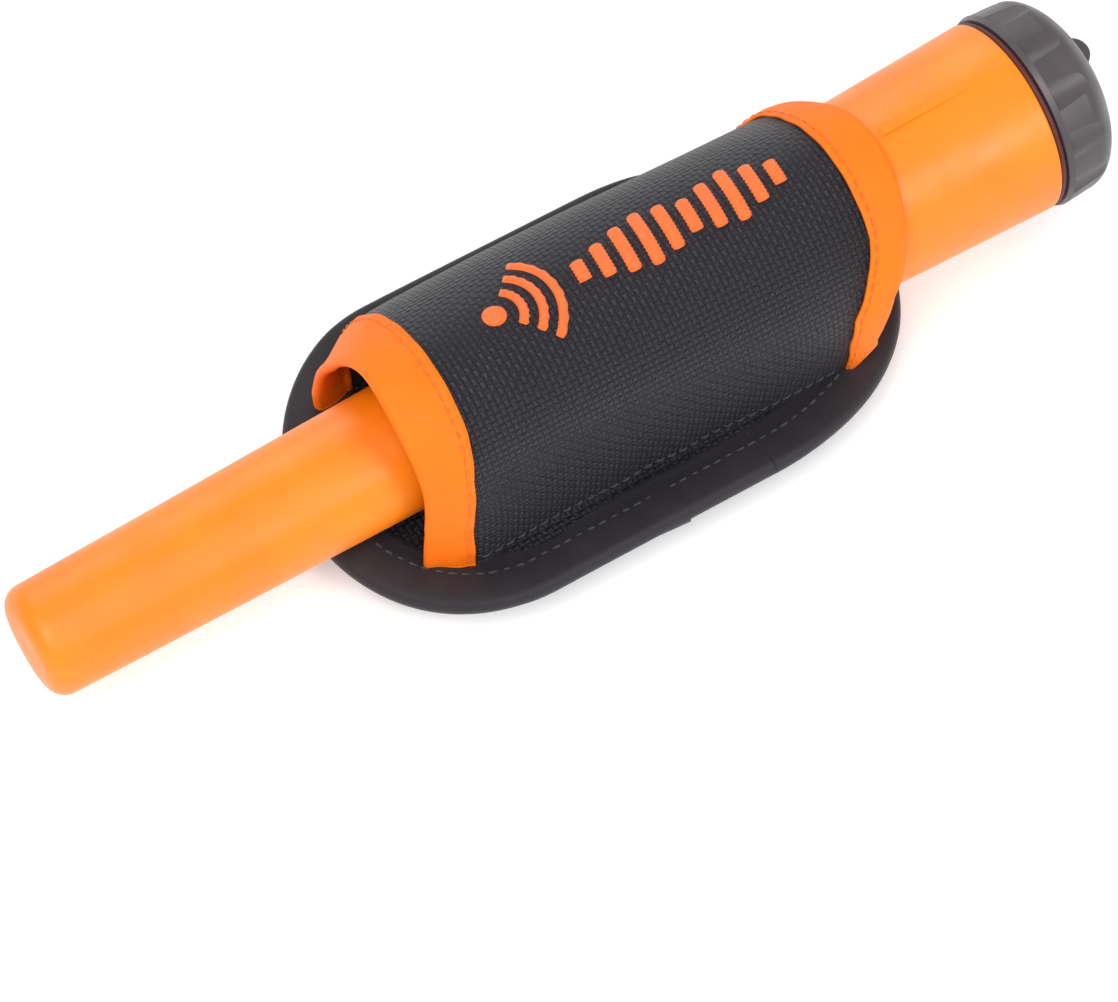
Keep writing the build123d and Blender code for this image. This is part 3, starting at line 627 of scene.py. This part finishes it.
def make_edge_tape(name, around, span, width, fold, lifts=(0, 0), replaces=None):
    """Tape folded over the panel's edge along a span of its outline, standing off from lift to lift."""
    outline = panel_outline(around)
    first, last = (int(round(s * around)) for s in span)
    closed = last - first >= around
    chosen = np.arange(first, last) % around
    picked = outline[chosen]
    ahead = np.roll(outline, -2, axis=0) - np.roll(outline, 2, axis=0)
    ahead = (ahead / np.linalg.norm(ahead, axis=1)[:, None])[chosen]
    inward = np.stack([-ahead[:, 1], ahead[:, 0]], 1)
    gap = panel_thickness - 1.2 * MM
    section = hairpin(width, gap, fold)
    deep, high = section[:, 0] + fold, section[:, 1]
    turn = np.arange(first, last) * (2 * math.pi / around)
    rows = len(picked)
    lift = np.linspace(*lifts, rows)[:, None]
    ripple = 0.10 * MM * np.sin(turn * 39)[:, None] * (deep > 2 * MM) * (deep < width * 0.95)
    wander = 0.25 * MM * np.sin(turn * 5)[:, None] * (deep > width * 0.9)
    xy = picked[:, None, :] + inward[:, None, :] * (deep + wander - lift * (deep < width / 2))[..., None]
    z = panel_middle + high + lift * np.sign(high) + ripple * np.sign(high) + curl(xy[..., 0], xy[..., 1])
    puff = 0.45 * MM * np.sin(np.clip(deep / width, 0, 1) * math.pi)
    z = z + np.where(high > gap / 2, puff, 0)
    points = np.concatenate([xy, z[..., None]], -1).reshape(-1, 3)
    columns = len(section)
    faces = grid_faces(rows, columns, wrap_rows=closed, wrap_columns=True)
    if not closed:
        faces += [tuple(reversed(f)) for f in shut_ends(rows, columns)]
    reach = np.broadcast_to(turn[:, None] * (56 * MM), z.shape)
    cloth = np.stack([reach, np.broadcast_to(deep, z.shape), 0 * z], -1).reshape(-1, 3) / MM
    piece = add_mesh(name, points, faces, black_tape, "holster", cloth)
    if replaces:
        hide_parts(replaces)


def make_belt_loop():
    """Webbing strip sewn at both ends, standing off the panel between them."""
    thick = webbing_thickness
    selvedge = 0.5 * MM
    stations, columns = 120, 26
    x = np.linspace(loop_low.x, loop_high.x, stations)
    drop = np.clip((np.abs(x) - webbing_flat_half) / (loop_high.z - thick), 0, 1)
    top = thick + (loop_high.z - thick) * (3 * drop**2 - 2 * drop**3)
    y = np.linspace(loop_low.y + selvedge, loop_high.y - selvedge, columns)
    edge = np.linspace(math.pi / 2, -math.pi / 2, 7)
    far = [(y[-1] + selvedge * math.cos(r), thick / 2 * (math.sin(r) - 1)) for r in edge]
    near = [(y[0] - selvedge * math.cos(r), thick / 2 * (math.sin(r) - 1)) for r in edge[::-1]]
    section = np.array([(v, 0.0) for v in y[1:-1]] + far + [(v, -thick) for v in y[1:-1][::-1]] + near)
    flat = np.abs(section[:, 1] + thick / 2) > thick * 0.45
    rib = 0.10 * MM * np.sin(section[:, 0] / (1.6 * MM)) * flat
    z = top[:, None] + section[:, 1] - np.abs(rib)
    points = np.stack(np.broadcast_arrays(x[:, None], section[:, 0], z), -1).reshape(-1, 3)
    cloth = np.stack(np.broadcast_arrays(x[:, None], section[:, 0], 0 * z), -1).reshape(-1, 3) / MM
    faces = grid_faces(stations, len(section), wrap_columns=True)
    faces += [tuple(reversed(f)) for f in shut_ends(stations, len(section))]
    piece = add_mesh("belt_loop_webbing", points, faces, loop_webbing, "holster", cloth)
    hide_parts("belt_loop")
    # Each end is sewn down by a box of stitches with a cross in it.
    places = []
    side = 14 * MM
    height = loop_high.z - thick
    for end in (-1, 1):
        inner, outer = end * 37 * MM, end * 46 * MM
        corners = [(inner, -side), (inner, side), (outer, side), (outer, -side)]
        corners += [(inner, -side), (outer, side), (outer, -side), (inner, side)]
        for first, last in zip(corners, corners[1:]):
            line = np.linspace((*first, height), (*last, height), 20)
            places += stitch_along(line, np.tile((0, 0, -1.0), (20, 1)))
    make_stitches("belt_loop_stitches", places, black_sewing)


# ======== Embroidered motif: a dot, three arcs and a row of level bars ========
def emboss(u, v, height, strand, points, faces, cloth):
    """Adds a raised patch: sleeve places (u, v), a height for each and its place across the threads."""
    start = len(points)
    rows, columns = u.shape
    points.extend(on_sleeve(u, v, height).reshape(-1, 3))
    cloth.extend((np.stack([strand + 0 * u, v, 0 * u], -1).reshape(-1, 3) / MM).tolist())
    faces.extend(tuple(reversed(f)) for f in grid_faces(rows, columns, start))


def make_motif():
    """The satin-stitched motif, each part a low domed patch with a slightly ragged edge."""
    points, faces, cloth = [], [], []
    pile = pile_top - pile_root

    def ring_patch(inner, outer, start, stop):
        steps = 110
        radial = np.linspace(0, 1, 9)[:, None]
        angle = np.radians(np.linspace(start, stop, steps))[None, :]
        radius = inner + (outer - inner) * radial + 0.1 * MM * np.sin(angle * 31) * (radial > 0.5)
        dome = np.sin(radial * math.pi).clip(0) ** 0.5 if inner else (1 - radial**2) ** 0.5
        ends = np.clip(np.minimum(np.arange(steps), np.arange(steps)[::-1]) / 6, 0, 1)[None, :] ** 0.5
        height = pile_root + pile * dome * (ends if inner else 1)
        place = motif_x + radius * np.cos(angle), motif_a + radius * np.sin(angle)
        emboss(*place, height, outer * angle if inner else place[1], points, faces, cloth)

    def bar_patch(x, low, high):
        end = 0.12
        across = np.linspace(-1, 1, 9)[:, None]
        along = np.linspace(0, 1, 90)[None, :]
        taper = np.sqrt(np.clip(1 - (np.abs(along * 2 - 1) - 1 + end).clip(0) ** 2 / end**2, 0, 1))
        height = pile_root + pile * (1 - across**2).clip(0) ** 0.5 * taper**0.5
        ragged = bar_width / 2 * taper + 0.10 * MM * np.sin(along * (high - low) / (0.14 * MM))
        a = low + (high - low) * along + 0 * across
        emboss(x + across * ragged + bar_slant * a, a, height, a, points, faces, cloth)

    ring_patch(0.0, dot_radius, 0, 360)
    for radius in arc_radii:
        ring_patch(radius * MM, (radius + arc_width) * MM, -arc_half_angle, arc_half_angle)
    for i, level in enumerate(bar_levels):
        half = level / 2 * MM
        bar_patch(motif_x + (bar_start + i * bar_pitch) * MM, motif_a - half, motif_a + half)
    piece = add_mesh("sleeve_embroidery", points, faces, orange_thread, "holster", cloth)


# ======== Neck thread under the cap ========
def make_neck_thread():
    """Screw thread round the housing's neck, which shows when the cap is lifted."""
    per_turn = 64
    count = int(thread_turns * per_turn)
    points = []
    for i in range(count + 1):
        angle = 2 * math.pi * i / per_turn
        middle = thread_start + thread_pitch * i / per_turn
        fade = min(1.0, i / 10, (count - i) / 10)
        out = Vector((0, math.cos(angle), 0)) + rise * math.sin(angle)
        top = thread_core + (thread_crest - thread_core) * fade
        profile = (
            (-thread_foot_half, thread_core), (-thread_crest_half, top),
            (thread_crest_half, top), (thread_foot_half, thread_core))
        for along, radius in profile:
            points.append(tip + axis * (middle + along) + out * radius)
    faces = grid_faces(count + 1, 4, wrap_columns=True) + shut_ends(count + 1, 4)
    piece = add_mesh("neck_thread", points, faces, orange_abs, "probe")


make_sleeve()
make_mouth_ribbon("tip_mouth_ribbon", "tip_mouth_binding", tip_edge, tip_ribbon_inner, 1)
make_mouth_ribbon("handle_mouth_ribbon", "handle_mouth_binding", handle_edge, handle_ribbon_inner, -1)
make_panel()
make_edge_tape("edge_tape", 520, (0, 1), tape_width, tape_fold, replaces="panel_edge_binding")
lap_lifts = (-0.25 * MM, 0.35 * MM)
make_edge_tape("edge_tape_lap", 2600, (0.905, 0.94), tape_width * 1.02, tape_fold, lap_lifts)
make_belt_loop()
make_motif()
make_neck_thread()

# Stitches along both ribbons, both seams of the sleeve, and the edge tape's top and underside.
girth = np.linspace(-half_girth + 1 * MM, half_girth - 1 * MM, 200)
ribbon_rows = []
for edge, inner in ((tip_edge, tip_ribbon_inner), (handle_edge, handle_ribbon_inner)):
    x = edge(girth) + ribbon_stitch_share * (inner(girth) - edge(girth))
    ribbon_rows += stitch_along(*sleeve_line(x, girth, ribbon_fold + 0.05 * MM))
make_stitches("ribbon_stitches", ribbon_rows, orange_sewing, ribbon_stitch_thickness)

seam_rows = []
x = np.linspace(tip_mouth_x + 10 * MM, handle_mouth_x - 4 * MM, 200)
for side in (-1, 1):
    seam_rows += stitch_along(*sleeve_line(x, side * (half_girth - seam_stitch_inset), 0.04 * MM))
make_stitches("seam_stitches", seam_rows, black_sewing)

panel_rows = []
line = panel_outline(400, tape_width * edge_stitch_share)
for out, stand in ((1.0, 0.42 * MM), (-1.0, 0.05 * MM)):
    z = panel_middle + out * panel_thickness / 2 + curl(line[:, 0], line[:, 1]) + stand
    flat = np.column_stack([line, z])
    panel_rows += stitch_along(np.concatenate([flat, flat[:1]]), np.tile((0, 0, out), (401, 1)))
make_stitches("edge_stitches", panel_rows, black_sewing)


# ======== Stage, light and camera ========
def make_stage():
    """A plain pale floor."""
    t = Tree("pale_floor")
    t.set(Base_Color=t.blend(t.noise(6, 2), (0.86, 0.86, 0.86), (0.9, 0.9, 0.9)), Roughness=0.8)
    t.set(Emission_Color=(1.0, 1.0, 1.0), Emission_Strength=0.2)
    size = 3.0
    corners = [(-size, -size, 0), (size, -size, 0), (size, size, 0), (-size, size, 0)]
    mesh = bpy.data.meshes.new("floor")
    mesh.from_pydata(corners, [], [(0, 1, 2, 3)])
    mesh.materials.append(t.material)
    floor = bpy.data.objects.new("floor", mesh)
    bpy.context.scene.collection.objects.link(floor)


def make_light(name, place, size, power):
    """A soft round lamp that faces the part."""
    target = Vector((0, 0, 0.02))
    data = bpy.data.lights.new(name, "AREA")
    data.shape, data.size, data.energy = "DISK", size, power
    lamp = bpy.data.objects.new(name, data)
    lamp.location = place
    lamp.rotation_mode = "QUATERNION"
    lamp.rotation_quaternion = (target - Vector(place)).to_track_quat("-Z", "Y")
    bpy.context.scene.collection.objects.link(lamp)


def make_camera():
    """A long lens high over the near side of the nose, rolled a few degrees."""
    azimuth, elevation, roll = math.radians(-35.5), math.radians(60.3), math.radians(4.0)
    distance, focal = 0.882, 144.9
    target = Vector((tip.x + 0.1053, -0.0247, tip.z))
    level = math.cos(elevation)
    back = Vector((math.sin(azimuth) * level, -math.cos(azimuth) * level, math.sin(elevation)))
    right = Vector((math.cos(azimuth), math.sin(azimuth), 0))
    up = back.cross(right)
    right, up = right * math.cos(roll) + up * math.sin(roll), up * math.cos(roll) - right * math.sin(roll)
    data = bpy.data.cameras.new("camera")
    data.lens, data.sensor_width = focal, 36
    camera = bpy.data.objects.new("camera", data)
    facing = Matrix((right, up, back)).transposed().to_4x4()
    camera.matrix_world = Matrix.Translation(target + back * distance) @ facing
    bpy.context.scene.collection.objects.link(camera)
    bpy.context.scene.camera = camera


make_stage()
make_light("key", (-0.5, -0.35, 1.0), 0.7, 8)
make_light("fill", (0.35, -0.85, 0.75), 0.45, 4.5)
make_light("back", (0.2, 0.9, 0.6), 0.7, 3.2)
world = bpy.data.worlds.new("studio")
world.use_nodes = True
world.node_tree.nodes["Background"].inputs["Color"].default_value = (1, 1, 1, 1)
world.node_tree.nodes["Background"].inputs["Strength"].default_value = 0.6
bpy.context.scene.world = world
bpy.context.scene.view_settings.view_transform = "Standard"
make_camera()
